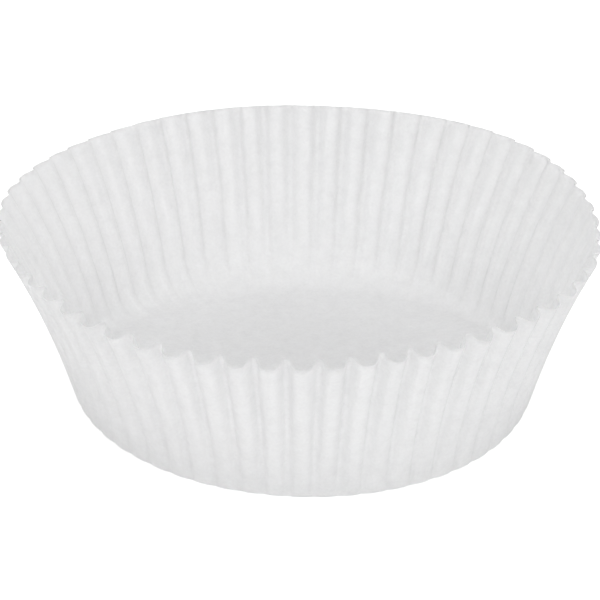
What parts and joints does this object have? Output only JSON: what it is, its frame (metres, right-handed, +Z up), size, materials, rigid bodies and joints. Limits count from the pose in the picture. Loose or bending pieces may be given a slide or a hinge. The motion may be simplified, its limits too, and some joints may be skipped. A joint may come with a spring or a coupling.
{
  "type": "cupcake liner",
  "caption": "Round fluted paper liner for baking a cupcake, with a flat base and a pleated wall that flares out to a scalloped rim.",
  "frame": {"origin": "centre of the base, on the surface that the liner stands on", "axes": "+Z up along the axis of the cup, towards its rim; the cup is the same all round, with an inward ridge of the fluted wall on +X"},
  "size_m": [0.0634, 0.0634, 0.0193],
  "materials": {
    "paper": "matt white greaseproof paper with a faint cloudy grain"
  },
  "bodies": {
    "root": {"liner": "paper"}
  },
  "joints": []
}
